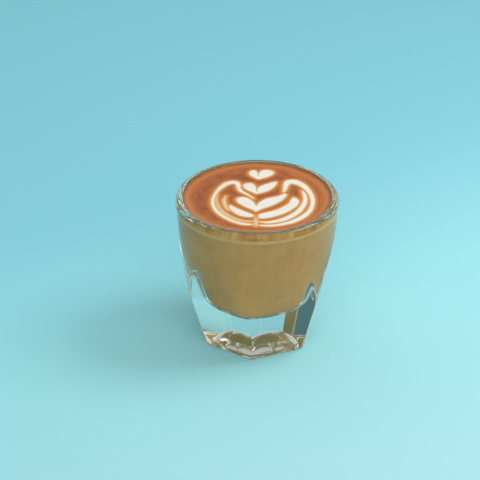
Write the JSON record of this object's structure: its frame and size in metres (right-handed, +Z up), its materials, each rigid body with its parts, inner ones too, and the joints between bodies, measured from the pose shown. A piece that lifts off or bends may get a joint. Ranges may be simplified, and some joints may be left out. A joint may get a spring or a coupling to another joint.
{
  "type": "cortado glass",
  "caption": "Faceted pressed-glass tumbler with a rounded lip and a thick domed base, filled with a layered coffee drink that carries a poured milk figure.",
  "frame": {"origin": "centre of the resting face, on the surface the glass stands on", "axes": "+Z up along the glass's axis, -Y towards the facet corner at the front"},
  "size_m": [0.076, 0.076, 0.0732],
  "materials": {
    "clear_glass": "fire-polished pressed glass",
    "coffee": "opaque liquid",
    "pale_foam": "wet microfoam",
    "crema": "satin wet foam",
    "milk_white": "satin wet foam",
    "milk_cream": "satin wet foam"
  },
  "bodies": {
    "glass": {"glass_tumbler": "clear_glass"},
    "drink": {"coffee_milk": "coffee", "foam_line": "pale_foam", "crema": "crema", "heart_top": "milk_white", "heart_upper": "milk_white", "heart_main": "milk_white", "leaf_left": "milk_white", "leaf_right": "milk_white", "fold_left": "milk_cream", "crescent_left": "milk_cream", "crescent_right": "milk_white", "wing_left": "milk_white", "wing_right": "milk_white", "stem": "milk_cream"}
  },
  "joints": [
    {"name": "drink_lift", "type": "slide", "parent": "glass", "child": "drink", "axis": [0, 0, 1], "range_m": [0, 0.08]}
  ]
}
